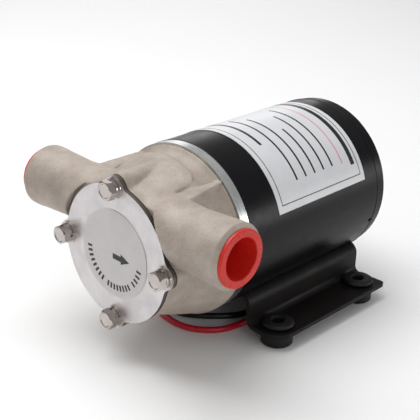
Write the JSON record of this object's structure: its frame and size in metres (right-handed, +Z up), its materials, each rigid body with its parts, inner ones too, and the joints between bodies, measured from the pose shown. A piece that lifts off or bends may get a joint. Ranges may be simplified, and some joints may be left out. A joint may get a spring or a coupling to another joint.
{
  "type": "flexible impeller pump",
  "caption": "Self-priming flexible-impeller pump head with hose ports, on a cylindrical DC motor with welded foot rails, rubber feet, port plugs and two leads.",
  "frame": {"origin": "middle of the four foot holes, on the plane that the rubber feet stand on", "axes": "+X along the two ports toward the outlet, +Y from the pump cover back along the motor shaft, +Z up"},
  "size_m": [0.124, 0.1534, 0.0913],
  "materials": {
    "cast_bronze": "bead-blasted casting, dull grey-beige",
    "stainless_plate": "fine polished sheet",
    "gasket_paper": "pressed fibre sheet",
    "label_silver": "printed silver film, blank",
    "stainless_bolt": "cold-headed, bright",
    "cam_bronze": "machined",
    "nitrile_rubber": "smooth moulded",
    "bell_aluminium": "turned, bright",
    "bearing_steel": "ground",
    "black_paint_steel": "satin black powder coat",
    "ferrite": "ground ceramic magnet",
    "laminate_board": "phenolic board",
    "brass_sheet": "stamped",
    "carbon": "pressed carbon",
    "spring_steel": "drawn wire",
    "zinc_bolt": "zinc plated",
    "foot_rubber": "matt moulded",
    "label_white": "printed film, blank with border",
    "red_pvc": "extruded insulation",
    "black_pvc": "extruded insulation",
    "lamination_steel": "stacked sheet",
    "enamel_copper": "varnished winding",
    "commutator_copper": "turned",
    "shaft_steel": "ground",
    "red_polythene": "moulded, slightly glossy"
  },
  "bodies": {
    "housing": {"pump_body": "cast_bronze", "cover_plate": "stainless_plate", "cover_gasket": "gasket_paper", "cover_label": "label_silver", "cover_bolts": "stainless_bolt", "cover_spring_washers": "stainless_bolt", "cover_flat_washers": "stainless_bolt", "cam_block": "cam_bronze", "wear_plate": "stainless_plate", "shaft_seal": "nitrile_rubber", "front_end_bell": "bell_aluminium", "front_bearing_outer": "bearing_steel", "motor_can": "black_paint_steel", "magnet_upper": "ferrite", "magnet_lower": "ferrite", "brush_plate": "laminate_board", "brush_holders": "brass_sheet", "brush_upper": "carbon", "brush_lower": "carbon", "brush_springs": "spring_steel", "rear_end_cap": "black_paint_steel", "rear_bearing_outer": "bearing_steel", "tie_bolts": "zinc_bolt", "rail_right": "black_paint_steel", "rail_left": "black_paint_steel", "rubber_feet": "foot_rubber", "motor_label": "label_white", "lead_grommet": "foot_rubber", "red_lead": "red_pvc", "black_lead": "black_pvc"},
    "rotor": {"rotor_shaft": "shaft_steel", "impeller_insert": "cam_bronze", "impeller_vanes": "nitrile_rubber", "shaft_slinger": "nitrile_rubber", "front_bearing_inner": "bearing_steel", "armature_core": "lamination_steel", "armature_winding": "enamel_copper", "commutator": "commutator_copper", "rear_bearing_inner": "bearing_steel"},
    "front_cage": {"front_ball_cage": "bearing_steel"},
    "rear_cage": {"rear_ball_cage": "bearing_steel"},
    "plug_right": {"port_plug_right": "red_polythene"},
    "plug_left": {"port_plug_left": "red_polythene"}
  },
  "joints": [
    {"name": "rotor_spin", "type": "hinge", "parent": "housing", "child": "rotor", "pos_m": [0, 0, 0.051], "axis": [0, 1, 0], "continuous": true, "deforming": ["impeller_vanes"]},
    {"name": "front_cage_spin", "type": "hinge", "parent": "housing", "child": "front_cage", "pos_m": [0, -0.0465, 0.051], "axis": [0, 1, 0], "continuous": true},
    {"name": "rear_cage_spin", "type": "hinge", "parent": "housing", "child": "rear_cage", "pos_m": [0, 0.0471, 0.051], "axis": [0, 1, 0], "continuous": true},
    {"name": "plug_right_pull", "type": "slide", "parent": "housing", "child": "plug_right", "axis": [1, 0, 0], "range_m": [0, 0.03]},
    {"name": "plug_left_pull", "type": "slide", "parent": "housing", "child": "plug_left", "axis": [-1, 0, 0], "range_m": [0, 0.03]}
  ],
  "couplings": [
    {"joint": "front_cage_spin", "follows": "rotor_spin", "ratio": 0.3693},
    {"joint": "rear_cage_spin", "follows": "rotor_spin", "ratio": 0.3693}
  ]
}
